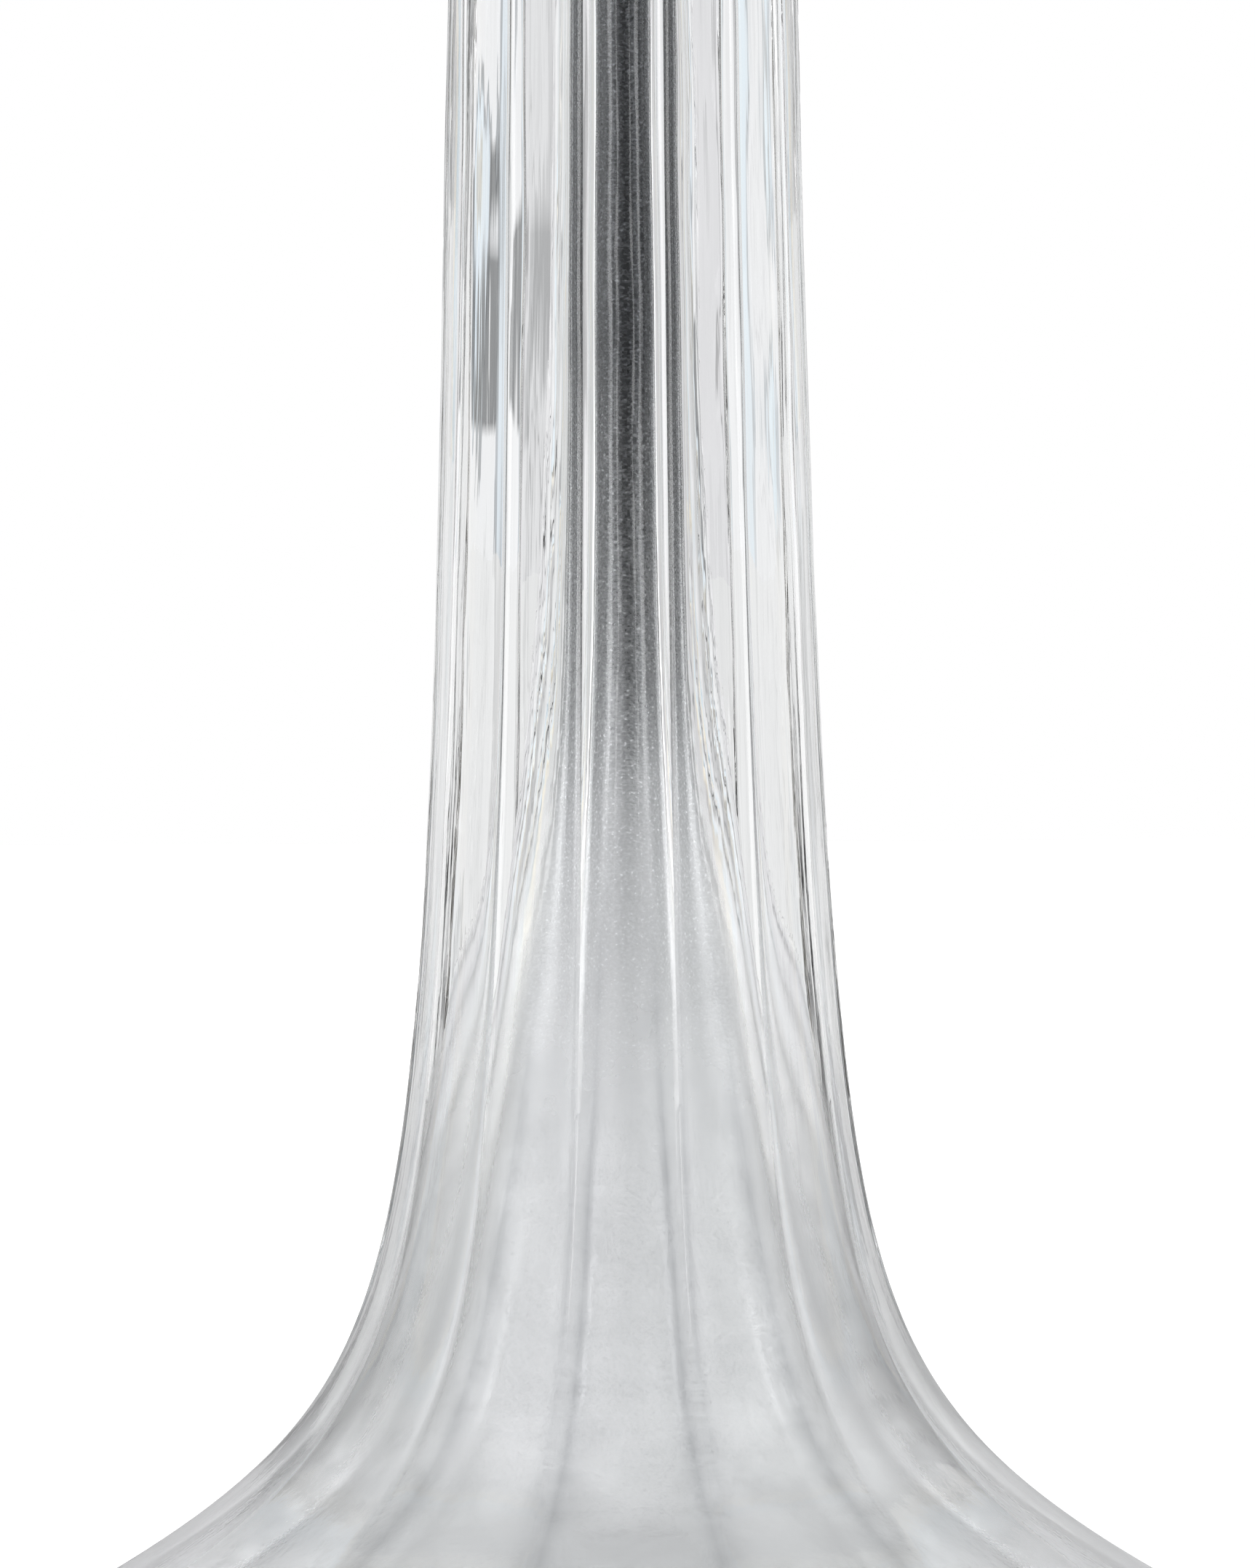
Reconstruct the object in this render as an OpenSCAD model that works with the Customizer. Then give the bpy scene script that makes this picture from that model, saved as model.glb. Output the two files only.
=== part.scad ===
// Glass candlestick: a fluted glass column with a trumpet foot, bored through and lined with spun
// metal, clamped between a base plate and a metal collar by one tie rod. A glass drip pan and a
// metal candle nozzle lift off the top. Millimetres, +Z up, standing on Z = 0 at the origin.

/* [Glass column] */
// Height of the column's flat top above the table
column_top = 285; // [240:1:330]
// Radius of the stem at its top, before the tail of the flare is added
stem_r = 17.55; // [16.5:0.05:19]
// Growth of the stem's radius per millimetre going down
stem_taper = 0.0093; // [0:0.0001:0.02]
// Radius of the foot at its rim
foot_r = 72; // [70:0.5:74]
// Height of the flare's bend above the table
flare_z = 24.5; // [22:0.1:28]
// Size of the flare's bend
flare_bend = 21.1; // [18:0.1:24]
// Radial growth per millimetre where the flare runs straight
flare_slope = 2.38; // [2.2:0.01:2.6]
// Number of flutes round the column
flutes = 14; // [10:2:20]
// Depth of a flute on the stem
flute_depth = 0.6; // [0.4:0.1:1.2]
// Depth of a flute at the foot's rim
rim_flute_depth = 1.2; // [0.4:0.1:1.4]
// How flat a flute's middle is, from a plain hollow at 2 to a narrow raised arris at 8
flute_power = 5; // [2:1:8]

/* [Bore and liner] */
// Radius of the bore through the stem
bore_r = 4.6; // [4.4:0.1:5]
// Height at which the bore starts to widen downwards
cone_z = 105; // [95:1:115]
// Radial growth of the bore per millimetre over its conical stretch
cone_slope = 0.28; // [0.2:0.01:0.29]
// Radial growth of the hollow per millimetre where it runs out under the foot
hollow_slope = 1.5; // [1.3:0.05:1.55]
// Wall of the spun metal liner
liner_wall = 0.7; // [0.5:0.1:0.8]
// Gap between the glass and the liner
liner_gap = 0.3; // [0.2:0.05:0.4]

/* [Base] */
// Thickness of the felt pad that the candlestick stands on
pad_t = 1.6; // [1:0.1:2.5]
// Thickness of the steel base plate
plate_t = 1.8; // [1.5:0.1:2.5]
// Radius of the base plate
plate_r = 68.5; // [67:0.5:69]
// Thickness of the rubber ring between the plate and the glass
gasket_t = 1.0; // [0.8:0.1:1.5]
// Height of the well in the plate that hides the nut
well_h = 10; // [9.5:0.5:12]

/* [Tie rod] */
// Radius of the threaded rod
rod_r = 2.5; // [2.5:0.5:2.5]
// Distance across the flats of its nuts
nut_flats = 8; // [8:0.5:8]
// Height of its nuts
nut_h = 4; // [4:0.5:5]

/* [Candle socket] */
// Radius of the bore that takes the candle
candle_r = 11.4; // [11:0.1:11.5]
// Depth of that bore
candle_depth = 25; // [22:1:28]
// Radius of the socket's own bore
socket_r = 12.8; // [12.8:0.1:13]
// Wall of the socket
socket_wall = 1.4; // [1.2:0.1:1.4]

/* [Drip pan] */
// Radius of the drip pan at its lip
pan_r = 40; // [34:1:48]
// Height of the lip above the pan's underside
pan_h = 9; // [8:0.5:12]
// Thickness of the pan's glass
pan_t = 3; // [2.5:0.5:3.5]

/* [Hidden] */
$fn = 96;

// heights of the stack, from the table up
plate_z = pad_t;
gasket_z = plate_z + plate_t;
glass_z = gasket_z + gasket_t;
well_z = plate_z + well_h;
collar_z = column_top + gasket_t;
collar_h = 8;
socket_z = collar_z + collar_h;
socket_floor = 2;
washer_t = 1.6;
rod_end = 1.5;
nozzle_floor = 1.2;
nozzle_gap = 1.2;
rod_z = well_z - 2 * washer_t - nut_h - rod_end;
rod_top = socket_z + socket_floor + washer_t + nut_h + rod_end;
nozzle_z = rod_top + nozzle_gap;
socket_top = nozzle_z + nozzle_floor + candle_depth - 1;

// column outline
rim_h = 3.2;
rim_round = 1.2;
hollow_z = 25;
hollow_bend = 10;
cone_bend = 22;
flute_points = 6;
around = flutes * flute_points;
soft_z = 0;
hard_z = 55;
rod_clear = 0.3;
pin_clear = 0.1;

// fittings
pad_inset = 1.5;
gasket_lap = 6;
plate_washer_r = 7.5;
lock_washer_r = 4.6;
lock_slot = 1.2;
socket_washer_r = 6.5;
bush_h = 8;
bush_low_z = 150;
seat_ring_w = 2.8;
seat_ring_t = 1;
edge = 0.6;
cove_low = 1.8;
cove_high = 6;
cove_cut = 2.6;
groove = 0.6;
nozzle_wall = 1.05;
nozzle_rim = 0.9;

// a hyperbola: straight at the given slope well below centre, dying away above it
function flare(z, centre, bend, slope) =
    slope / 2 * (sqrt((z - centre) * (z - centre) + bend * bend) - (z - centre));

// radius of the column over the arrises, and of its hollow
function outer_r(z) = stem_r + stem_taper * (column_top - z)
    + flare(z, flare_z, flare_bend, flare_slope);
function inner_r(z) = bore_r + flare(z, hollow_z, hollow_bend, hollow_slope)
    + flare(z, cone_z, cone_bend, cone_slope);

// 0 on the foot, 1 up the stem
function up_stem(z) = min(1, max(0, (z - soft_z) / (hard_z - soft_z)));
function depth_at(z) = rim_flute_depth
    + (flute_depth - rim_flute_depth) * min(1, (z - glass_z) / (hard_z - glass_z));

// share of the depth at u, which runs from -1 at one arris to 1 at the next
function hollowed(u) = 1 - pow(abs(u), flute_power);
function waved(u) = 0.5 + 0.5 * cos(180 * u);
function scallop(u, z) = up_stem(z) * hollowed(u) + (1 - up_stem(z)) * waved(u);

// heights bunch up towards the foot, where the outline bends most
function heights(low, high, count) =
    [for (i = [0:count]) low + (high - low) * pow(i / count, 2)];

// the section as [radius, height, flute depth]: up the outside, down the hollow
rim_top = glass_z + rim_h;
outer_z = heights(rim_top, column_top, 34);
inner_z = heights(glass_z, column_top, 26);
section = concat(
    [for (a = [-90:30:0])
        [foot_r - rim_round + rim_round * cos(a), glass_z + rim_round + rim_round * sin(a), 0]],
    [for (z = outer_z) [min(foot_r, outer_r(z)), z, depth_at(z)]],
    [for (i = [len(inner_z) - 1:-1:0]) [inner_r(inner_z[i]), inner_z[i], 0]]
);

// points crowd towards the arrises, where a flute turns most
function column_point(s, j) =
    let (u = sin(90 * (2 * (j % flute_points) / flute_points - 1)))
    let (a = (floor(j / flute_points) + u / 2) * 360 / flutes - 90)
    let (r = s[0] - s[2] * scallop(u, s[1]))
    [r * cos(a), r * sin(a), s[1]];

module ring(r_in, r_out, z, h) {
    translate([0, 0, z]) difference() {
        cylinder(r = r_out, h = h);
        translate([0, 0, -1]) cylinder(r = r_in, h = h + 2);
    }
}

module hex_nut(z) {
    translate([0, 0, z]) difference() {
        cylinder(d = nut_flats / cos(30), h = nut_h, $fn = 6);
        translate([0, 0, -1]) cylinder(r = rod_r + pin_clear, h = nut_h + 2);
    }
}

module foot_pad() {
    color("dimgray") ring(plate_r / 3, plate_r - pad_inset, 0, pad_t);
}

// a flat rim with a raised well in the middle
module base_plate() {
    well_r = plate_r / 4;
    color("silver") rotate_extrude() polygon([
        [well_r, plate_z], [plate_r, plate_z], [plate_r, gasket_z],
        [well_r + plate_t, gasket_z], [well_r + plate_t / 2, well_z + plate_t],
        [rod_r + rod_clear, well_z + plate_t], [rod_r + rod_clear, well_z],
        [well_r - plate_t / 2, well_z]
    ]);
}

module rim_gasket() {
    color("darkslategray") ring(inner_r(glass_z) - gasket_lap, plate_r, gasket_z, gasket_t);
}

module plate_washer() {
    color("silver") ring(rod_r + rod_clear, plate_washer_r, well_z - washer_t, washer_t);
}

// a split ring, cut through on one side
module lock_washer() {
    color("gray") difference() {
        ring(rod_r + pin_clear, lock_washer_r, well_z - 2 * washer_t, washer_t);
        translate([0, -lock_slot / 2, well_z - 3 * washer_t])
            cube([2 * lock_washer_r, lock_slot, 3 * washer_t]);
    }
}

module base_nut() {
    color("silver") hex_nut(well_z - 2 * washer_t - nut_h);
}

module tie_rod() {
    color("lightgray") translate([0, 0, rod_z]) cylinder(r = rod_r, h = rod_top - rod_z);
}

// a thin trumpet that follows the hollow from the rim gasket to the stem's top
module inner_liner() {
    z_all = heights(glass_z, column_top - 0.5, 30);
    color("gainsboro") rotate_extrude() polygon(concat(
        [for (z = z_all) [inner_r(z) - liner_gap, z]],
        [for (i = [len(z_all) - 1:-1:0]) [inner_r(z_all[i]) - liner_gap - liner_wall, z_all[i]]]
    ));
}

// two nylon bushes keep the rod central in the liner
module rod_bushes() {
    color("ivory") for (z = [bush_low_z, column_top - 2.5 * bush_h])
        ring(rod_r + pin_clear, bore_r - liner_gap - liner_wall - pin_clear, z, bush_h);
}

// the section swept round the axis with a scallop for each flute
module glass_column() {
    n = len(section);
    color("lightcyan", 0.6) polyhedron(
        points = [for (s = section) for (j = [0:around - 1]) column_point(s, j)],
        faces = [for (i = [0:n - 1]) for (j = [0:around - 1])
            let (a = i * around + j, b = i * around + (j + 1) % around)
            let (c = ((i + 1) % n) * around + (j + 1) % around, d = ((i + 1) % n) * around + j)
            each [[a, c, b], [a, d, c]]]
    );
}

module top_gasket() {
    color("darkslategray") ring(inner_r(column_top) + 0.5, stem_r - 0.5, column_top, gasket_t);
}

// turned collar: a flange over the glass, a cove, and the shoulder that carries the pan
module top_collar() {
    flange_r = outer_r(column_top) + edge;
    cove_r = socket_r + socket_wall + 1;
    shoulder_r = cove_r + 1.9;
    cove_z = (cove_low + cove_high) / 2;
    cove_h = (cove_high - cove_low) / 2;
    color("silver") difference() {
        translate([0, 0, collar_z]) rotate_extrude() polygon(concat(
            [[0, 0], [flange_r - edge, 0], [flange_r, edge], [flange_r, cove_low]],
            [for (a = [-70:20:70])
                [cove_r + cove_cut * (1 - cos(a)), cove_z + cove_h * sin(a) / sin(70)]],
            [[shoulder_r, cove_high + 0.4], [shoulder_r, collar_h], [0, collar_h]]
        ));
        translate([0, 0, collar_z - 1]) cylinder(r = rod_r + rod_clear, h = collar_h + 2);
    }
}

// a turned cup with a pair of grooves near each end
module candle_socket() {
    out_r = socket_r + socket_wall;
    color("silver") difference() {
        translate([0, 0, socket_z]) cylinder(r = out_r, h = socket_top - socket_z);
        translate([0, 0, socket_z + socket_floor]) cylinder(r = socket_r, h = socket_top);
        translate([0, 0, socket_z - 1]) cylinder(r = rod_r + rod_clear, h = socket_floor + 2);
        for (z = [socket_top - 3, socket_top - 5, socket_z + 14, socket_z + 12])
            translate([0, 0, z]) rotate_extrude() translate([out_r + groove / 4, 0])
                circle(r = groove, $fn = 24);
    }
}

module socket_washer() {
    color("silver") ring(rod_r + rod_clear, socket_washer_r, socket_z + socket_floor, washer_t);
}

module socket_nut() {
    color("silver") hex_nut(socket_z + socket_floor + washer_t);
}

module pan_seat_ring() {
    color("white") ring(socket_r + socket_wall + pin_clear,
        socket_r + socket_wall + pin_clear + seat_ring_w, socket_z, seat_ring_t);
}

// a shallow glass dish with a collar hole, its lip turned up
module drip_pan() {
    seat_z = socket_z + seat_ring_t;
    hole_r = socket_r + socket_wall + 1;
    hub_r = hole_r + 5;
    sweep_r = pan_r - hub_r;
    rise = pan_h - pan_t / 2;
    color("lightcyan", 0.6) translate([0, 0, seat_z]) rotate_extrude() polygon(concat(
        [[hole_r, pan_t], [hole_r, 0]],
        [for (t = [0:0.125:1]) [hub_r + (sweep_r - 0.4) * t, rise * t * t]],
        [for (a = [-60:30:150]) [pan_r - pan_t / 2 + pan_t / 2 * cos(a), rise + pan_t / 2 * sin(a)]],
        [for (t = [1:-0.125:0]) [hub_r + (sweep_r - pan_t) * t, pan_t + (rise - pan_t) * t * t]]
    ));
}

// a thin cup for the candle, hung in the socket by its rolled rim
module candle_nozzle() {
    cup_r = candle_r + nozzle_wall;
    rim_z = socket_top - nozzle_z;
    color("silver") translate([0, 0, nozzle_z]) rotate_extrude() polygon(concat(
        [[0, 0], [cup_r, 0], [cup_r, rim_z]],
        [for (a = [-90:30:90])
            [socket_r + nozzle_rim / 2 + nozzle_rim * cos(a), rim_z + nozzle_rim * (1 + sin(a))]],
        [[candle_r, rim_z + 2 * nozzle_rim], [candle_r, nozzle_floor], [0, nozzle_floor]]
    ));
}

foot_pad();
base_plate();
rim_gasket();
plate_washer();
lock_washer();
base_nut();
tie_rod();
inner_liner();
rod_bushes();
glass_column();
top_gasket();
top_collar();
candle_socket();
socket_washer();
socket_nut();
pan_seat_ring();
drip_pan();
candle_nozzle();
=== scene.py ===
"""Looks of the glass candlestick: fluted glass, satin lining, turned fittings, studio and camera."""
import math

import bmesh
import bpy
import numpy as np
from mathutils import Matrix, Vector


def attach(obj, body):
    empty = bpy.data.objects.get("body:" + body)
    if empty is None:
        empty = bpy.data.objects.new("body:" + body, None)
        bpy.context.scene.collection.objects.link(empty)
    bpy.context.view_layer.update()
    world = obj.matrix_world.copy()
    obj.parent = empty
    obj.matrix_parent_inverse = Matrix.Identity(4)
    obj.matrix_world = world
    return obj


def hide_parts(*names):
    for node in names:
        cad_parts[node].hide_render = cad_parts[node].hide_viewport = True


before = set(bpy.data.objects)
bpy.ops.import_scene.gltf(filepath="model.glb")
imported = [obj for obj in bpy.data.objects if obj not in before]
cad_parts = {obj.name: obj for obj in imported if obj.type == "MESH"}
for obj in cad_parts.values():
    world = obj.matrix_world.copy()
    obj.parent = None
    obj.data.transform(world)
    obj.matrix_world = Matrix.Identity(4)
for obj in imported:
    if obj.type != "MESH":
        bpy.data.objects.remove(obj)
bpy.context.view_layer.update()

MM = 0.001

# Driving sizes, in millimetres, the same as the CAD model's.
COLUMN_TOP = 285
STEM_R = 17.55
STEM_TAPER = 0.0093
FOOT_R = 72
FLARE_Z, FLARE_BEND, FLARE_SLOPE = 24.5, 21.1, 2.38
FLUTES = 14
FLUTE_DEPTH, RIM_FLUTE_DEPTH = 0.6, 1.2
FLUTE_POWER = 5
BORE_R = 4.6
HOLLOW_Z, HOLLOW_BEND, HOLLOW_SLOPE = 25, 10, 1.5
CONE_Z, CONE_BEND, CONE_SLOPE = 105, 22, 0.28
LINER_GAP, LINER_WALL = 0.3, 0.7
# The etching inside the foot: full below one height and gone above the other, how rough it is, and
# the colour of clear glass and the painted shade on an etched arris.
FROST_LOW, FROST_HIGH = 50, 118
FROST = 0.45
CLEAR, ARRIS_SHADE = (0.985, 0.99, 0.99, 1), (0.6, 0.61, 0.62, 1)
# The most that the outside wanders from its true shape.
RIPPLE = 0.25
PAD_T, PLATE_T, PLATE_R, GASKET_T, WELL_H = 1.6, 1.8, 68.5, 1.0, 10
ROD_R, NUT_FLATS, NUT_H, WASHER_T, ROD_END = 2.5, 8, 4, 1.6, 1.5
ROD_CLEARANCE, ROD_FIT = 0.3, 0.1
PLATE_WASHER_R, LOCK_WASHER_R, SOCKET_WASHER_R = 7.5, 4.6, 6.5
BUSH_H, BUSH_LOW_Z, BUSH_HIGH_Z = 8, 150, COLUMN_TOP - 20
CANDLE_R, CANDLE_DEPTH, SOCKET_R, SOCKET_WALL = 11.4, 25, 12.8, 1.4
PAN_R, PAN_H, PAN_T = 40, 9, 3
RIM_H, RIM_ROUND = 3.2, 1.2
# Flutes are soft at the lower height and crisp from the upper one.
SOFT_Z, HARD_Z = 0, 55

# The tent round the object. Its brightness from the dark side, which lies near the camera, to the back.
WALL_STOPS = [(0.0, 0.05), (0.05, 0.09), (0.08, 0.22), (0.13, 0.64), (0.24, 0.86), (0.6, 0.97),
              (0.8, 1.0)]
DARK_SIDE = math.radians(15)
# Its brightness and tint round each side, from 0 at the front to 1 at the back.
TENT_STOPS = [(0.0, 1.0), (0.45, 1.0), (0.58, 0.7), (0.61, (1.0, 0.93, 0.78)), (0.63, (0.82, 0.93, 1.0)),
              (0.66, 0.92), (0.75, 0.6), (0.78, (1.0, 0.96, 0.86)), (0.8, (0.86, 0.95, 1.0)), (0.84, 0.95),
              (0.93, 0.8), (1.0, 0.93)]
# Two upright strips of light on each side, and how bright they are.
STRIP_STOPS = [(0.10, 0.0), (0.13, 1.0), (0.15, 1.0), (0.18, 0.0), (0.39, 0.0), (0.42, 1.0), (0.44, 1.0),
               (0.47, 0.0)]
STRIP = 3.0
# Folds in the tent's cloth: how many, and how dark.
FOLD_SCALE = 14.0
FOLD_STOPS = [(0.36, 0.5), (0.46, 0.92), (0.56, 1.0)]
# Light from above, and light from the floor.
CEILING = 0.4
FLOOR_GLOW = 0.5
# Grey cards at the back: from and to round the side, from and to in height, and how dark. Then their
# tone, and the tone of the dark front.
CARDS = [(0.05, 0.085, 0.02, 0.057, 0.35), (0.152, 0.176, 0.0185, 0.0515, 0.8)]
CARD_TONE, FRONT_TONE = (0.12, 0.125, 0.13, 1), (0.05, 0.052, 0.055, 1)

# Heights of the stack, from the table up.
PLATE_Z = PAD_T
GASKET_Z = PLATE_Z + PLATE_T
GLASS_Z = GASKET_Z + GASKET_T
WELL_Z = PLATE_Z + WELL_H
COLLAR_Z = COLUMN_TOP + GASKET_T
COLLAR_H = 8
SOCKET_Z = COLLAR_Z + COLLAR_H
SOCKET_FLOOR = 2
ROD_Z = WELL_Z - 2 * WASHER_T - NUT_H - ROD_END
ROD_TOP = SOCKET_Z + SOCKET_FLOOR + WASHER_T + NUT_H + ROD_END
NOZZLE_Z = ROD_TOP + 1.2
NOZZLE_FLOOR = 1.2
SOCKET_TOP = NOZZLE_Z + NOZZLE_FLOOR + CANDLE_DEPTH - 1


# ---------------------------------------------------------------- outlines

def flare(z, centre, bend, slope):
    """A hyperbola: straight at the given slope well below centre, dying away above it."""
    return slope / 2 * (math.hypot(z - centre, bend) - (z - centre))


def outer_r(z):
    return STEM_R + STEM_TAPER * (COLUMN_TOP - z) + flare(z, FLARE_Z, FLARE_BEND, FLARE_SLOPE)


def inner_r(z):
    return (BORE_R + flare(z, HOLLOW_Z, HOLLOW_BEND, HOLLOW_SLOPE)
            + flare(z, CONE_Z, CONE_BEND, CONE_SLOPE))


def flute_depth(z):
    share = min(1, (z - GLASS_Z) / (HARD_Z - GLASS_Z))
    return RIM_FLUTE_DEPTH + (FLUTE_DEPTH - RIM_FLUTE_DEPTH) * share


def scallop(u, z):
    """Share of a flute's depth at u, from -1 at one arris to 1 at the next."""
    crisp = min(1, max(0, (z - SOFT_Z) / (HARD_Z - SOFT_Z)))
    return crisp * (1 - np.abs(u) ** FLUTE_POWER) + (1 - crisp) * (0.5 + 0.5 * np.cos(math.pi * u))


def heights(low, high, count):
    """Heights that bunch up towards low."""
    return [low + (high - low) * (i / count) ** 1.6 for i in range(count + 1)]


def arc(centre, radius, start, end, steps=6):
    """Points of an arc, angles in degrees."""
    turn = np.radians(np.linspace(start, end, steps + 1))
    return [(centre[0] + radius * math.cos(a), centre[1] + radius * math.sin(a)) for a in turn]


def rounded(outline, radius):
    """A closed outline with each corner off the axis replaced by a small curve."""
    points = []
    for i, here in enumerate(outline):
        here = Vector(here)
        before, after = Vector(outline[i - 1]), Vector(outline[(i + 1) % len(outline)])
        if here.x == 0:
            points.append(tuple(here))
            continue
        start = here + (before - here).normalized() * min(radius, (before - here).length * 0.45)
        end = here + (after - here).normalized() * min(radius, (after - here).length * 0.45)
        for t in np.linspace(0, 1, 5):
            points.append(tuple((1 - t) ** 2 * start + 2 * t * (1 - t) * here + t * t * end))
    return points


# ---------------------------------------------------------------- meshes

def skin(name, rings, closed=True, sharp=35):
    """A mesh from closed rings of points in millimetres. closed joins the last ring to the first."""
    count = len(rings[0])
    points = np.concatenate([np.asarray(r, float) for r in rings]) * MM
    j = np.arange(count)
    faces = []
    for i in range(len(rings) if closed else len(rings) - 1):
        a, b = i * count, (i + 1) % len(rings) * count
        faces.append(np.stack([a + j, a + (j + 1) % count, b + (j + 1) % count, b + j], 1))
    mesh = bpy.data.meshes.new(name)
    mesh.from_pydata(points.tolist(), [], np.concatenate(faces).tolist())
    piece = bpy.data.objects.new(name, mesh)
    bpy.context.scene.collection.objects.link(piece)
    tidy_mesh(piece, sharp)
    return piece


def tidy_mesh(piece, sharp):
    """Welds doubled points, turns faces outwards and sets smooth shading with crisp edges."""
    work = bmesh.new()
    work.from_mesh(piece.data)
    bmesh.ops.remove_doubles(work, verts=work.verts, dist=1e-7)
    bmesh.ops.dissolve_degenerate(work, edges=work.edges, dist=1e-8)
    bmesh.ops.recalc_face_normals(work, faces=work.faces)
    work.to_mesh(piece.data)
    work.free()
    piece.data.polygons.foreach_set("use_smooth", [True] * len(piece.data.polygons))
    piece.data.set_sharp_from_angle(angle=math.radians(sharp))


def ring_points(radii, z, around):
    turn = np.linspace(0, 2 * math.pi, around, endpoint=False) - math.pi / 2
    return np.stack([radii * np.cos(turn), radii * np.sin(turn), np.broadcast_to(z, turn.shape)], 1)


def lathe(name, outline, around=160, sharp=35):
    """A closed outline of (radius, height) points turned round the axis."""
    return skin(name, [ring_points(r, z, around) for r, z in outline], sharp=sharp)


def dress(piece, node, material, body):
    """Gives a new piece its material and body, in place of a CAD node."""
    piece.data.materials.clear()
    piece.data.materials.append(material)
    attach(piece, body)
    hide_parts(node)


# ---------------------------------------------------------------- materials

class Net:
    """A node tree, with short names for the nodes that it needs."""

    def __init__(self, tree):
        self.nodes, self.links = tree.nodes, tree.links

    def node(self, kind, inputs=None, **settings):
        node = self.nodes.new(kind)
        for key, value in settings.items():
            setattr(node, key, value)
        for key, value in (inputs or {}).items():
            socket = node.inputs[key]
            if isinstance(value, bpy.types.NodeSocket):
                self.links.new(value, socket)
            else:
                socket.default_value = value
        return node

    def split(self, vector):
        """The X, Y and Z of a vector."""
        return self.node("ShaderNodeSeparateXYZ", {0: vector}).outputs

    def vector(self, operation, a, b=(0, 0, 0)):
        return self.node("ShaderNodeVectorMath", {0: a, 1: b}, operation=operation).outputs[0]

    def clouds(self, place, scale, detail=2.0, rough=0.5):
        return self.node("ShaderNodeTexNoise", {"Vector": place, "Scale": scale, "Detail": detail,
                                                "Roughness": rough}).outputs[0]

    def ramp(self, value, stops, shape="LINEAR"):
        """A colour ramp with stops of (place, grey or colour)."""
        node = self.node("ShaderNodeValToRGB", {0: value})
        node.color_ramp.interpolation = shape
        for i, (at, colour) in enumerate(stops):
            stop = node.color_ramp.elements[i] if i < 2 else node.color_ramp.elements.new(at)
            stop.position = at
            stop.color = (*(colour if isinstance(colour, tuple) else (colour,) * 3), 1)
        return node.outputs[0]

    def math(self, operation, a, b=0.0):
        return self.node("ShaderNodeMath", {0: a, 1: b}, operation=operation).outputs[0]

    def mix(self, share, a, b, blend="MIX"):
        return self.node("ShaderNodeMix", {0: share, 6: a, 7: b}, data_type="RGBA",
                         blend_type=blend).outputs[2]

    def round_from_front(self, x, y):
        """0 at the front and 1 at the back, the same on both sides."""
        return self.math("DIVIDE", self.math("ARCTAN2", self.math("ABSOLUTE", x),
                                             self.math("MULTIPLY", y, -1.0)), math.pi)


class Shader(Net):
    """A material with a Principled shader."""

    def __init__(self, name, **sockets):
        self.material = bpy.data.materials.new(name)
        self.material.use_nodes = True
        super().__init__(self.material.node_tree)
        self.bsdf = self.nodes["Principled BSDF"]
        for key, value in sockets.items():
            self.bsdf.inputs[key.replace("_", " ")].default_value = value
        self.place = self.nodes.new("ShaderNodeTexCoord").outputs["Object"]

    def noise(self, scale, detail=2, stretch=None, rough=0.5):
        """Noise in metres: scale counts waves per metre, stretch multiplies it along X, Y and Z."""
        place = self.vector("MULTIPLY", self.place, stretch) if stretch else self.place
        return self.clouds(place, scale, detail, rough)

    def to(self, socket, value):
        self.links.new(value, self.bsdf.inputs[socket])

    def bump(self, height, strength, distance):
        node = self.node("ShaderNodeBump", {"Height": height, "Strength": strength,
                                            "Distance": distance})
        self.to("Normal", node.outputs[0])


def clear_glass():
    """Polished lead glass, drawn and rippled, etched inside the foot, with painted shade darkening its
    etched arrises.
    """
    s = Shader("clear_glass", Transmission_Weight=1.0, IOR=1.54)
    smear = s.noise(60, 3)
    etched = s.node("ShaderNodeAttribute", attribute_name="etched").outputs["Fac"]
    etched = s.math("MULTIPLY", etched, s.ramp(s.noise(220, 3), [(0.3, 0.65), (0.7, 1.0)]))
    x, y, _ = s.split(s.place)
    turn = s.math("MULTIPLY", s.math("ARCTAN2", x, s.math("MULTIPLY", y, -1.0)),
                  FLUTES / (2 * math.pi))
    part = s.math("FRACT", s.math("ADD", turn, 0.5 + FLUTES))
    across = s.math("ABSOLUTE", s.math("SUBTRACT", s.math("MULTIPLY", part, 2.0), 1.0))
    arris = s.math("POWER", across, 5.0)
    # Painted shade: the etched glass is coloured darker towards each arris.
    arris_shade = s.math("MULTIPLY", arris, etched)
    s.to("Base Color", s.mix(arris_shade, CLEAR, ARRIS_SHADE))
    s.to("Roughness", s.math("ADD", s.ramp(smear, [(0.4, 0.0), (0.8, 0.025)]),
                             s.math("MULTIPLY", etched, FROST)))
    ripple = s.noise(90, 2, stretch=(1, 1, 0.12))
    drawn = s.noise(1100, 2, stretch=(1, 1, 0.012))
    s.bump(s.math("ADD", ripple, s.math("MULTIPLY", drawn, 0.12)), 0.35, 0.0004)
    return s.material


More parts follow.
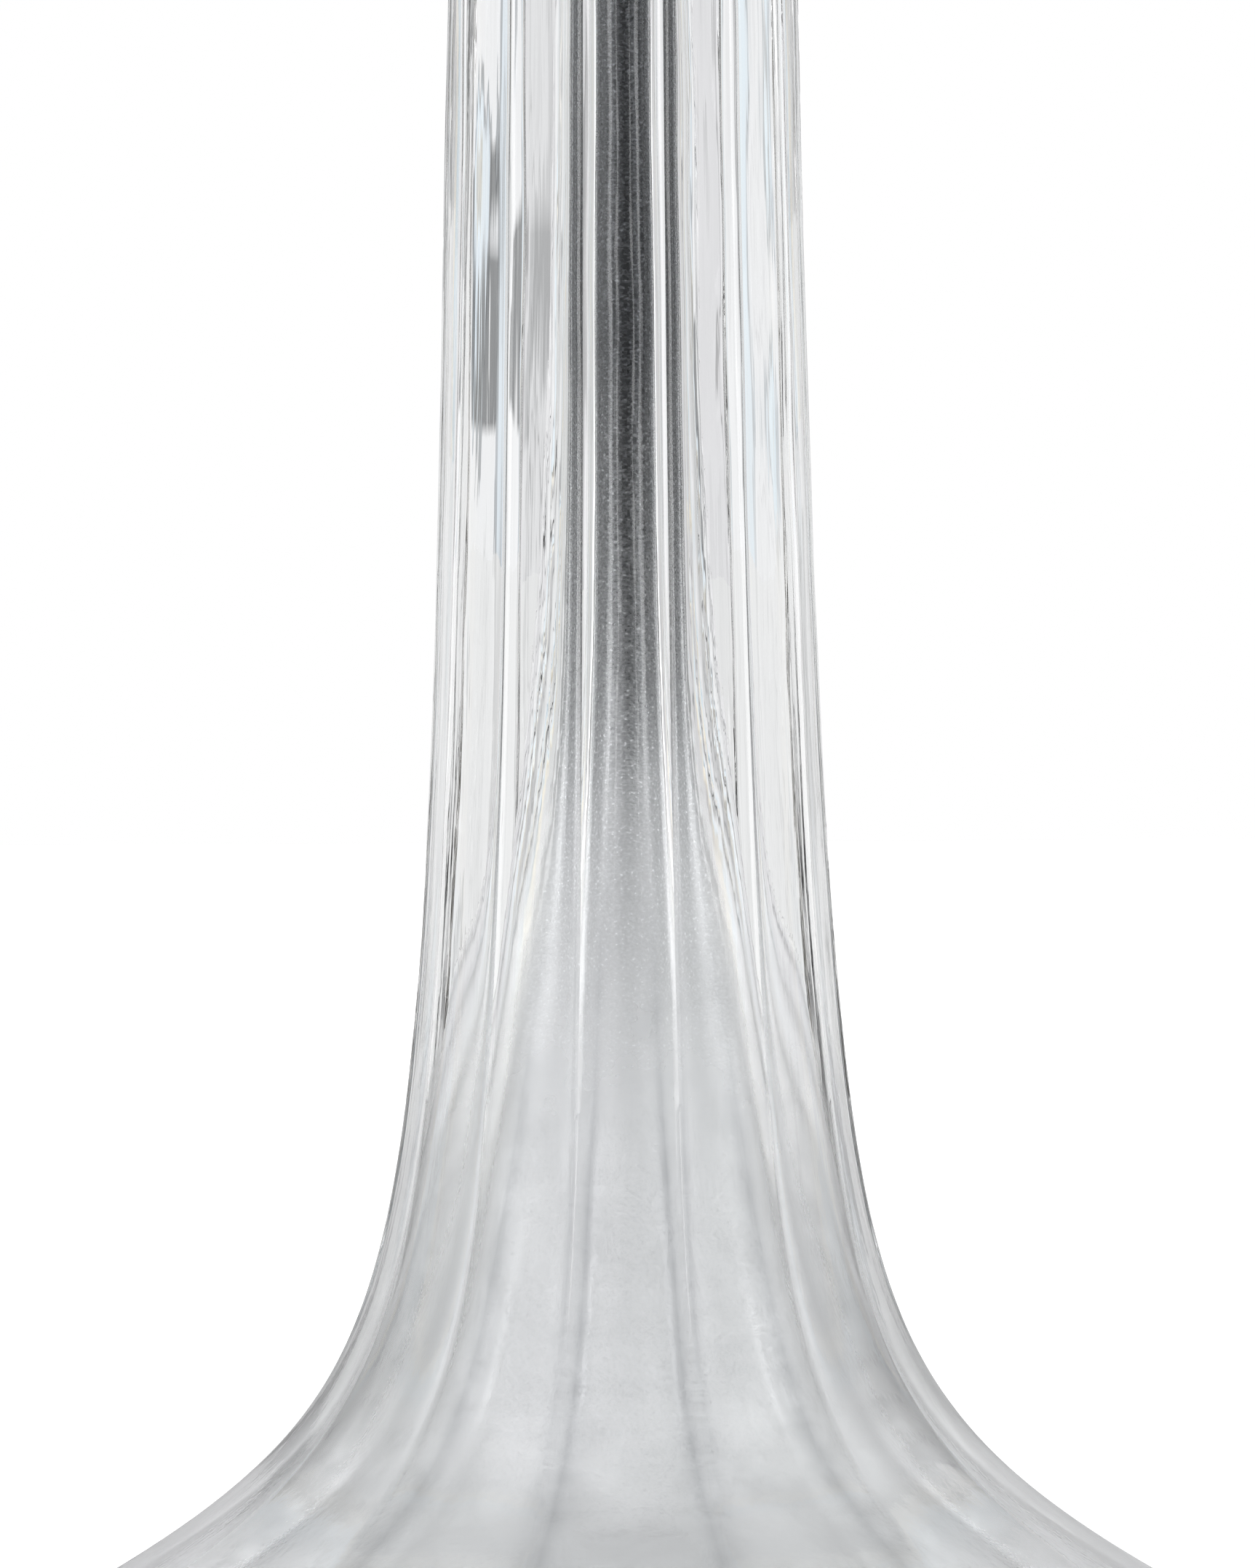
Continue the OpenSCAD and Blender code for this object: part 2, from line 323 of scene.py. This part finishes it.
def satin_lining():
    """Blasted aluminium, grainy in the stem and smoother out in the foot; its colour is a painted
    reflection, dark up the stem and pale in the foot.
    """
    s = Shader("satin_lining", Metallic=1.0)
    z = s.split(s.place)[2]
    height = s.node("ShaderNodeMapRange", {0: z, 1: 0.0, 2: 0.16}).outputs[0]
    up_stem = s.node("ShaderNodeMapRange", {0: z, 1: 0.06, 2: 0.14}).outputs[0]
    grain = s.noise(3200, 1, rough=0.6)
    patch = s.noise(120, 3, stretch=(1, 1, 0.35))
    # Painted reflection of the dim studio front: the colour darkens up the stem and pales in the foot,
    # with patch moving where it changes.
    core_shade_place = s.math("ADD", height, s.math("MULTIPLY", s.math("SUBTRACT", patch, 0.5), 0.2))
    painted_core_shade = s.ramp(core_shade_place, [(0.12, (0.95, 0.955, 0.965)), (0.2, (0.78, 0.785, 0.795)),
                          (0.28, (0.79, 0.795, 0.805)), (0.375, (0.84, 0.845, 0.855)),
                          (0.54, (0.62, 0.625, 0.635)), (0.64, (0.48, 0.485, 0.495)),
                          (0.74, (0.32, 0.325, 0.332)), (0.84, (0.22, 0.224, 0.23)),
                          (0.97, (0.11, 0.114, 0.12))])
    # Grain with painted glints: bright specks multiply the colour up the stem.
    grain_and_glint = s.ramp(grain, [(0.3, 0.6), (0.55, 0.95), (0.68, 1.35), (0.76, 2.6)])
    s.to("Base Color", s.mix(up_stem, painted_core_shade, s.mix(1.0, painted_core_shade, grain_and_glint, "MULTIPLY")))
    s.to("Roughness", s.math("SUBTRACT", s.ramp(grain, [(0.2, 0.38), (0.8, 0.55)]),
                             s.math("MULTIPLY", up_stem, 0.2)))
    s.bump(grain, 0.25, 0.00012)
    return s.material


def polished_nickel():
    """Bright plate with fine turning marks and a few handling smears."""
    s = Shader("polished_nickel", Metallic=1.0)
    smear = s.noise(35, 4)
    s.to("Base Color", s.ramp(smear, [(0.3, (0.7, 0.69, 0.67)), (0.7, (0.78, 0.77, 0.75))]))
    s.to("Roughness", s.ramp(smear, [(0.35, 0.07), (0.75, 0.2)]))
    turning = s.noise(9000, 1, stretch=(0.02, 0.02, 1))
    s.bump(turning, 0.12, 0.00002)
    return s.material


def zinc_steel():
    """Bright zinc with a soft spangle."""
    s = Shader("zinc_steel", Metallic=1.0)
    spangle = s.node("ShaderNodeTexVoronoi", {"Vector": s.place, "Scale": 260.0}).outputs[0]
    s.to("Base Color", s.ramp(spangle, [(0.0, (0.5, 0.51, 0.53)), (0.9, (0.64, 0.65, 0.66))]))
    s.to("Roughness", s.ramp(s.noise(180, 3), [(0.3, 0.24), (0.7, 0.42)]))
    s.bump(s.noise(1500, 2), 0.2, 0.00004)
    return s.material


def rubber(name, dark, light):
    """Rubber, silicone or nylon: even, with a moulded grain."""
    s = Shader(name)
    s.to("Base Color", s.ramp(s.noise(300, 3), [(0.3, dark), (0.75, light)]))
    s.to("Roughness", s.ramp(s.noise(900, 2), [(0.3, 0.5), (0.8, 0.75)]))
    s.bump(s.noise(2400, 2), 0.3, 0.00005)
    return s.material


def grey_felt():
    """Pressed felt: matted fibres running every way."""
    s = Shader("grey_felt", Sheen_Weight=0.5, Roughness=0.95)
    fibre = s.noise(1300, 5, stretch=(1, 0.4, 1), rough=0.7)
    cross = s.noise(1300, 5, stretch=(0.4, 1, 1), rough=0.7)
    mat = s.math("MULTIPLY", s.math("ADD", fibre, cross), 0.5)
    s.to("Base Color", s.ramp(mat, [(0.35, (0.09, 0.09, 0.095)), (0.65, (0.27, 0.27, 0.28))]))
    s.bump(mat, 0.8, 0.0005)
    return s.material


# ---------------------------------------------------------------- glass

def ripple(turn, z):
    """Slow unevenness left by the fire polish, from 0 to 1, more along the stem than round it."""
    wave = np.zeros_like(turn)
    for k in range(1, 7):
        wave = wave + np.sin((2 * k + 3) * turn + z * 0.035 * k + 2.4 * k * k) / k
        wave = wave + np.sin((9 - k) * turn - z * 0.06 * k + 1.7 * k) / (k + 1)
    return 0.5 + 0.16 * wave


def column_piece():
    """The fluted trumpet: the outside swept with scallops, the hollow turned round."""
    per_flute = 28
    around = FLUTES * per_flute
    u = 2 * (np.arange(around) % per_flute) / per_flute - 1
    start = -math.pi / FLUTES - math.pi / 2
    turn = start + np.arange(around) * 2 * math.pi / around

    def ring(r, z, depth):
        radii = r - depth * scallop(u, z) - RIPPLE * ripple(turn, z) * (depth > 0)
        return np.stack([radii * np.cos(turn), radii * np.sin(turn), np.full(around, float(z))], 1)

    rim = [ring(r, z, 0) for r, z in
           arc((FOOT_R - RIM_ROUND, GLASS_Z + RIM_ROUND), RIM_ROUND, -90, 0, 6)]
    outside = [ring(min(FOOT_R, outer_r(z)), z, flute_depth(z))
               for z in heights(GLASS_Z + RIM_H, COLUMN_TOP, 260)]
    inside = [ring(inner_r(z), z, 0) for z in heights(GLASS_Z, COLUMN_TOP, 160)]
    piece = skin("glass_column", rim + outside + inside[::-1], sharp=50)
    frost(piece)
    return piece


def frost(piece):
    """Marks how far each point is etched: not at all outside, and more towards the foot inside."""
    etched = piece.data.attributes.new("etched", "FLOAT", "POINT")
    for point, mark in zip(piece.data.vertices, etched.data):
        x, y, z = point.co / MM
        share = min(1, max(0, (FROST_HIGH - z) / (FROST_HIGH - FROST_LOW)))
        if math.hypot(x, y) < inner_r(z) + 0.2:
            mark.value = share * share * (3 - 2 * share)


def pan_piece():
    """The drip pan: a shallow dish with a turned-up lip."""
    hole_r = SOCKET_R + SOCKET_WALL + 1
    hub_r = hole_r + 5
    sweep_r = PAN_R - hub_r
    rise = PAN_H - PAN_T / 2
    seat_z = SOCKET_Z + 1
    steps = np.linspace(0, 1, 40)
    outline = [(hole_r, PAN_T - 0.4), (hole_r, 0.4), (hole_r + 0.4, 0)]
    outline += [(hub_r + (sweep_r - 0.4) * t, rise * t * t) for t in steps]
    outline += arc((PAN_R - PAN_T / 2, rise), PAN_T / 2, -55, 150, 12)
    outline += [(hub_r + (sweep_r - PAN_T) * t, PAN_T + (rise - PAN_T) * t * t)
                for t in steps[::-1]]
    outline += [(hole_r + 0.4, PAN_T)]
    return lathe("drip_pan", [(r, seat_z + z) for r, z in outline], around=224, sharp=60)


# ---------------------------------------------------------------- metal and soft pieces

def liner_piece():
    levels = heights(GLASS_Z, COLUMN_TOP - 0.5, 260)
    outside = [(inner_r(z) - LINER_GAP, z) for z in levels]
    inside = [(inner_r(z) - LINER_GAP - LINER_WALL, z) for z in levels]
    return lathe("inner_liner", outside + inside[::-1], around=192)


def flat_ring(name, r_in, r_out, z, height, edge):
    corners = [(r_in, z), (r_out, z), (r_out, z + height), (r_in, z + height)]
    return lathe(name, rounded(corners, edge))


def plate_piece():
    well_r = PLATE_R / 4
    hole_r = ROD_R + ROD_CLEARANCE
    return lathe("base_plate", rounded([
        (well_r, PLATE_Z), (PLATE_R, PLATE_Z), (PLATE_R, GASKET_Z),
        (well_r + PLATE_T, GASKET_Z), (well_r + PLATE_T / 2, WELL_Z + PLATE_T),
        (hole_r, WELL_Z + PLATE_T), (hole_r, WELL_Z), (well_r - PLATE_T / 2, WELL_Z)], 0.7),
        around=200)


def collar_piece():
    """The turned collar: flange, cove and shoulder."""
    flange_r = outer_r(COLUMN_TOP) + 0.6
    cove_r = SOCKET_R + SOCKET_WALL + 1
    hole_r = ROD_R + ROD_CLEARANCE
    outline = [(hole_r, 0), (flange_r - 0.5, 0), (flange_r - 0.1, 0.2), (flange_r, 0.6),
               (flange_r, 1.5), (flange_r - 0.2, 1.8)]
    for a in np.radians(np.linspace(-70, 70, 21)):
        outline.append((cove_r + 2.6 * (1 - math.cos(a)),
                        3.9 + 2.1 * math.sin(a) / math.sin(math.radians(70))))
    outline += [(cove_r + 1.9, COLLAR_H - 1.4), (cove_r + 1.9, COLLAR_H - 0.3),
                (cove_r + 1.6, COLLAR_H), (hole_r, COLLAR_H)]
    return lathe("top_collar", [(r, COLLAR_Z + z) for r, z in outline], around=224)


def socket_piece():
    """The candle socket: a cup with a pair of grooves near each end."""
    out_r = SOCKET_R + SOCKET_WALL
    hole_r = ROD_R + ROD_CLEARANCE
    outline = [(hole_r, SOCKET_Z), (out_r - 0.3, SOCKET_Z), (out_r, SOCKET_Z + 0.3)]
    for z in (SOCKET_Z + 12, SOCKET_Z + 14, SOCKET_TOP - 5, SOCKET_TOP - 3):
        outline += arc((out_r + 0.15, z), 0.6, 256, 104, 10)
    outline += [(out_r, SOCKET_TOP - 0.3), (out_r - 0.3, SOCKET_TOP), (SOCKET_R + 0.3, SOCKET_TOP),
                (SOCKET_R, SOCKET_TOP - 0.3), (SOCKET_R, SOCKET_Z + SOCKET_FLOOR + 0.4),
                (SOCKET_R - 0.4, SOCKET_Z + SOCKET_FLOOR), (hole_r, SOCKET_Z + SOCKET_FLOOR)]
    return lathe("candle_socket", outline, around=224)


def nozzle_piece():
    """The candle nozzle: a thin cup with a rolled rim."""
    wall, rim = 1.05, 0.9
    top = SOCKET_TOP - NOZZLE_Z
    outline = [(0, 0), (CANDLE_R + wall - 0.6, 0), (CANDLE_R + wall - 0.15, 0.15),
               (CANDLE_R + wall, 0.6), (CANDLE_R + wall, top)]
    outline += arc((SOCKET_R + rim / 2, top + rim), rim, -90, 90, 14)
    outline += [(CANDLE_R + 0.35, top + 2 * rim), (CANDLE_R, top + 2 * rim - 0.35),
                (CANDLE_R, NOZZLE_FLOOR + 1), (CANDLE_R - 0.3, NOZZLE_FLOOR + 0.3),
                (CANDLE_R - 1, NOZZLE_FLOOR), (0, NOZZLE_FLOOR)]
    return lathe("candle_nozzle", [(r, NOZZLE_Z + z) for r, z in outline], around=224)


def nut_piece(name, z):
    """A hexagon nut with chamfered corners and a countersunk hole."""
    around = 96
    turn = np.linspace(0, 2 * math.pi, around, endpoint=False) - math.pi / 2
    to_flat = (turn + math.pi / 2 + math.pi / 6) % (math.pi / 3) - math.pi / 6
    flats = NUT_FLATS / 2 / np.cos(to_flat)
    corner_r = NUT_FLATS / 2 / math.cos(math.pi / 6)
    hole_r = ROD_R + ROD_FIT
    rings = [ring_points(hole_r + 0.5, z, around)]
    for h in (0, 0.25, 0.5, 0.8, NUT_H - 0.8, NUT_H - 0.5, NUT_H - 0.25, NUT_H):
        chamfer = corner_r - 0.95 + min(h, NUT_H - h) * 1.7
        rings.append(ring_points(np.minimum(flats, chamfer), z + h, around))
    rings += [ring_points(hole_r + 0.5, z + NUT_H, around),
              ring_points(hole_r, z + NUT_H - 0.5, around), ring_points(hole_r, z + 0.5, around)]
    return skin(name, rings, sharp=25)


def rod_piece():
    """The tie rod: an M5 thread cut at both ends of a plain shank."""
    around, pitch, cut, thread = 36, 0.8, 0.25, 22
    turn = np.linspace(0, 1, around, endpoint=False)

    def ring(z):
        share = max(0, min(1, thread - min(z - ROD_Z, ROD_TOP - z)))
        end = max(0, 0.8 - min(z - ROD_Z, ROD_TOP - z))
        wave = np.abs((z / pitch - turn) % 1 * 2 - 1)
        return ring_points(ROD_R - np.maximum(cut * share * wave, end * 0.7), z, around)

    low = np.arange(ROD_Z, ROD_Z + thread + 1, pitch / 8)
    high = np.arange(ROD_TOP - thread - 1, ROD_TOP + 0.01, pitch / 8)
    rings = [ring(z) for z in np.concatenate([low, high])]
    middle_low, middle_high = ring_points(0.0, ROD_Z, around), ring_points(0.0, ROD_TOP, around)
    return skin("tie_rod", [middle_low] + rings + [middle_high], closed=False, sharp=50)


def lock_washer_piece():
    """A split spring ring whose ends stand slightly apart."""
    r_in, r_out, gap = ROD_R + ROD_FIT, LOCK_WASHER_R, 0.1
    z = WELL_Z - 2 * WASHER_T
    rings = []
    for t in np.linspace(gap, 2 * math.pi - gap, 90):
        section = rounded([(r_in, 0.12), (r_out, 0.12), (r_out, WASHER_T - 0.12),
                           (r_in, WASHER_T - 0.12)], 0.2)
        lift = 0.12 * (t / math.pi - 1)
        rings.append([(r * math.cos(t), r * math.sin(t), z + h + lift) for r, h in section])
    middles = [np.mean(rings[0], 0), np.mean(rings[-1], 0)]
    count = len(rings[0])
    rings = [[middles[0]] * count] + rings + [[middles[1]] * count]
    return skin("lock_washer", rings, closed=False)


def bushes_piece():
    """Two nylon bushes, each with eased edges."""
    r_in, r_out = ROD_R + ROD_FIT, BORE_R - LINER_GAP - LINER_WALL - ROD_FIT
    lower, upper = (flat_ring("rod_bushes", r_in, r_out, z, BUSH_H, 0.3)
                    for z in (BUSH_LOW_Z, BUSH_HIGH_Z))
    joined = bpy.data.meshes.new("joined")
    points = [v.co[:] for part in (lower, upper) for v in part.data.vertices]
    shift = len(lower.data.vertices)
    faces = [tuple(p.vertices) for p in lower.data.polygons]
    faces += [tuple(v + shift for v in p.vertices) for p in upper.data.polygons]
    joined.from_pydata(points, [], faces)
    lower.data = joined
    bpy.data.objects.remove(upper)
    tidy_mesh(lower, 35)
    return lower


# ---------------------------------------------------------------- assembly

def build():
    glass, satin, nickel, zinc = clear_glass(), satin_lining(), polished_nickel(), zinc_steel()
    black = rubber("black_rubber", 0.02, 0.05)
    silicone = rubber("clear_silicone", 0.62, 0.75)
    nylon = rubber("white_nylon", 0.72, 0.82)
    felt = grey_felt()
    washer_z = WELL_Z - WASHER_T
    seat_r = SOCKET_R + SOCKET_WALL
    stand = [
        (column_piece(), "glass_column", glass, "clear_glass"),
        (liner_piece(), "inner_liner", satin, "satin_lining"),
        (flat_ring("foot_pad", PLATE_R / 3, PLATE_R - 1.5, 0, PAD_T, 0.4), "foot_pad", felt,
         "grey_felt"),
        (plate_piece(), "base_plate", zinc, "zinc_steel"),
        (flat_ring("rim_gasket", inner_r(GLASS_Z) - 6, PLATE_R, GASKET_Z, GASKET_T, 0.3),
         "rim_gasket", black, "black_rubber"),
        (flat_ring("plate_washer", ROD_R + ROD_CLEARANCE, PLATE_WASHER_R, washer_z, WASHER_T, 0.25),
         "plate_washer", zinc, "zinc_steel"),
        (lock_washer_piece(), "lock_washer", zinc, "zinc_steel"),
        (nut_piece("base_nut", WELL_Z - 2 * WASHER_T - NUT_H), "base_nut", zinc, "zinc_steel"),
        (rod_piece(), "tie_rod", zinc, "zinc_steel"),
        (bushes_piece(), "rod_bushes", nylon, "white_nylon"),
        (flat_ring("top_gasket", inner_r(COLUMN_TOP) + 0.5, STEM_R - 0.5, COLUMN_TOP, GASKET_T,
                   0.3), "top_gasket", black, "black_rubber"),
        (collar_piece(), "top_collar", nickel, "polished_nickel"),
        (socket_piece(), "candle_socket", nickel, "polished_nickel"),
        (flat_ring("socket_washer", ROD_R + ROD_CLEARANCE, SOCKET_WASHER_R, SOCKET_Z + SOCKET_FLOOR,
                   WASHER_T, 0.25), "socket_washer", zinc, "zinc_steel"),
        (nut_piece("socket_nut", SOCKET_Z + SOCKET_FLOOR + WASHER_T), "socket_nut", zinc,
         "zinc_steel"),
        (flat_ring("pan_seat_ring", seat_r + 0.1, seat_r + 2.9, SOCKET_Z, 1, 0.3),
         "pan_seat_ring", silicone, "clear_silicone"),
    ]
    for piece, node, material, slot in stand:
        dress(piece, node, material, "stand")
    dress(pan_piece(), "drip_pan", glass, "pan")
    dress(nozzle_piece(), "candle_nozzle", nickel, "nozzle")


# ---------------------------------------------------------------- studio

def edges(low, high, soft):
    """Ramp stops that rise at low and fall again at high."""
    return [(low - soft, 0.0), (low, 1.0), (high, 1.0), (high + soft, 0.0)]


def studio():
    """A white tent: dim behind the camera, bright overhead, with strips of light and pale folds."""
    world = bpy.data.worlds.new("studio")
    bpy.context.scene.world = world
    world.use_nodes = True
    net = Net(world.node_tree)

    def ramp(value, stops):
        return net.ramp(value, stops, "EASE")

    way = net.nodes.new("ShaderNodeTexCoord").outputs["Generated"]
    x, y, z = net.split(way)
    around = net.round_from_front(x, y)
    along = net.math("SUBTRACT", net.math("MULTIPLY", y, math.cos(DARK_SIDE)),
                     net.math("MULTIPLY", x, math.sin(DARK_SIDE)))
    depth = net.math("ADD", net.math("MULTIPLY", along, 0.5), 0.5)
    lift = net.math("MULTIPLY", net.math("MAXIMUM", z), 0.5)
    tent = net.mix(1.0, ramp(net.math("ADD", depth, lift), WALL_STOPS), ramp(around, TENT_STOPS),
                   "MULTIPLY")

    upright = net.vector("MULTIPLY", way, (1, 1, 0.12))
    tent = net.mix(1.0, tent, ramp(net.clouds(upright, FOLD_SCALE, rough=0.6), FOLD_STOPS), "MULTIPLY")
    tint = [(0.35, (0.985, 0.98, 1.0)), (0.65, (0.975, 0.99, 0.988))]
    tent = net.mix(1.0, tent, ramp(net.clouds(upright, 2.2), tint), "MULTIPLY")

    side = net.math("DIVIDE", net.math("ARCTAN2", x, y), math.pi)
    for near, far, low, high, share in CARDS:
        card = net.math("MULTIPLY", ramp(side, edges(near, far, 0.006)),
                        ramp(z, edges(low, high, 0.003)))
        tent = net.mix(net.math("MULTIPLY", card, share), tent, CARD_TONE)

    front = net.math("DIVIDE", net.math("ARCTAN2", x, net.math("MULTIPLY", y, -1.0)), math.pi)
    front = net.math("ABSOLUTE", net.math("SUBTRACT", front, DARK_SIDE / math.pi))
    shade = net.math("MULTIPLY", ramp(front, [(0.07, 1.0), (0.14, 0.0)]),
                     ramp(z, [(0.3, 1.0), (0.5, 0.0)]))
    tent = net.mix(net.math("MULTIPLY", shade, 0.75), tent, FRONT_TONE)

    tent = net.mix(1.0, tent, ramp(z, [(0.2, 0.0), (0.6, CEILING)]), "ADD")
    height = net.math("ADD", net.math("MULTIPLY", z, 0.5), 0.5)
    strip = net.math("MULTIPLY", ramp(around, STRIP_STOPS),
                     ramp(height, [(0.46, 0.0), (0.54, 1.0), (0.68, 0.9), (0.86, 0.0)]))
    lit = net.mix(1.0, tent, net.mix(1.0, strip, (STRIP, STRIP, STRIP, 1), "MULTIPLY"), "ADD")

    seen = net.nodes.new("ShaderNodeLightPath").outputs["Is Camera Ray"]
    net.links.new(net.mix(seen, lit, (1, 1, 1, 1)), net.nodes["Background"].inputs[0])


def floor():
    """A plain pale floor, large enough to run past every view, shaded like the tent above it."""
    size = 12.0
    mesh = bpy.data.meshes.new("floor")
    mesh.from_pydata([(x * size, y * size, 0) for x, y in ((-1, -1), (1, -1), (1, 1), (-1, 1))],
                     [], [(0, 1, 2, 3)])
    piece = bpy.data.objects.new("floor", mesh)
    bpy.context.scene.collection.objects.link(piece)
    s = Shader("floor", Base_Color=(0.3, 0.3, 0.3, 1), Roughness=0.9, Emission_Color=(1, 1, 1, 1))
    x, y, _ = s.split(s.place)
    glow = s.math("MULTIPLY", s.ramp(s.round_from_front(x, y), TENT_STOPS), FLOOR_GLOW)
    folds = s.clouds(s.vector("NORMALIZE", s.place), FOLD_SCALE, rough=0.6)
    glow = s.math("MULTIPLY", glow, s.ramp(folds, FOLD_STOPS))
    seen = s.node("ShaderNodeLightPath").outputs["Is Camera Ray"]
    s.to("Emission Strength", s.math("MAXIMUM", glow, seen))
    mesh.materials.append(s.material)


def camera():
    """Level with the middle of the flare, close enough to crop to the stem and foot."""
    distance, height, view_h, long_side = 0.825, 0.1039, 0.1778, 36
    data = bpy.data.cameras.new("camera")
    data.sensor_width = long_side
    data.lens = long_side * distance / view_h
    data.clip_end = 100
    cam = bpy.data.objects.new("camera", data)
    cam.location = (0.0001, -distance, height)
    cam.rotation_euler = (math.radians(90), math.radians(0.28), 0)
    bpy.context.scene.collection.objects.link(cam)
    bpy.context.scene.camera = cam


build()
studio()
floor()
camera()
bpy.context.scene.view_settings.view_transform = "Standard"
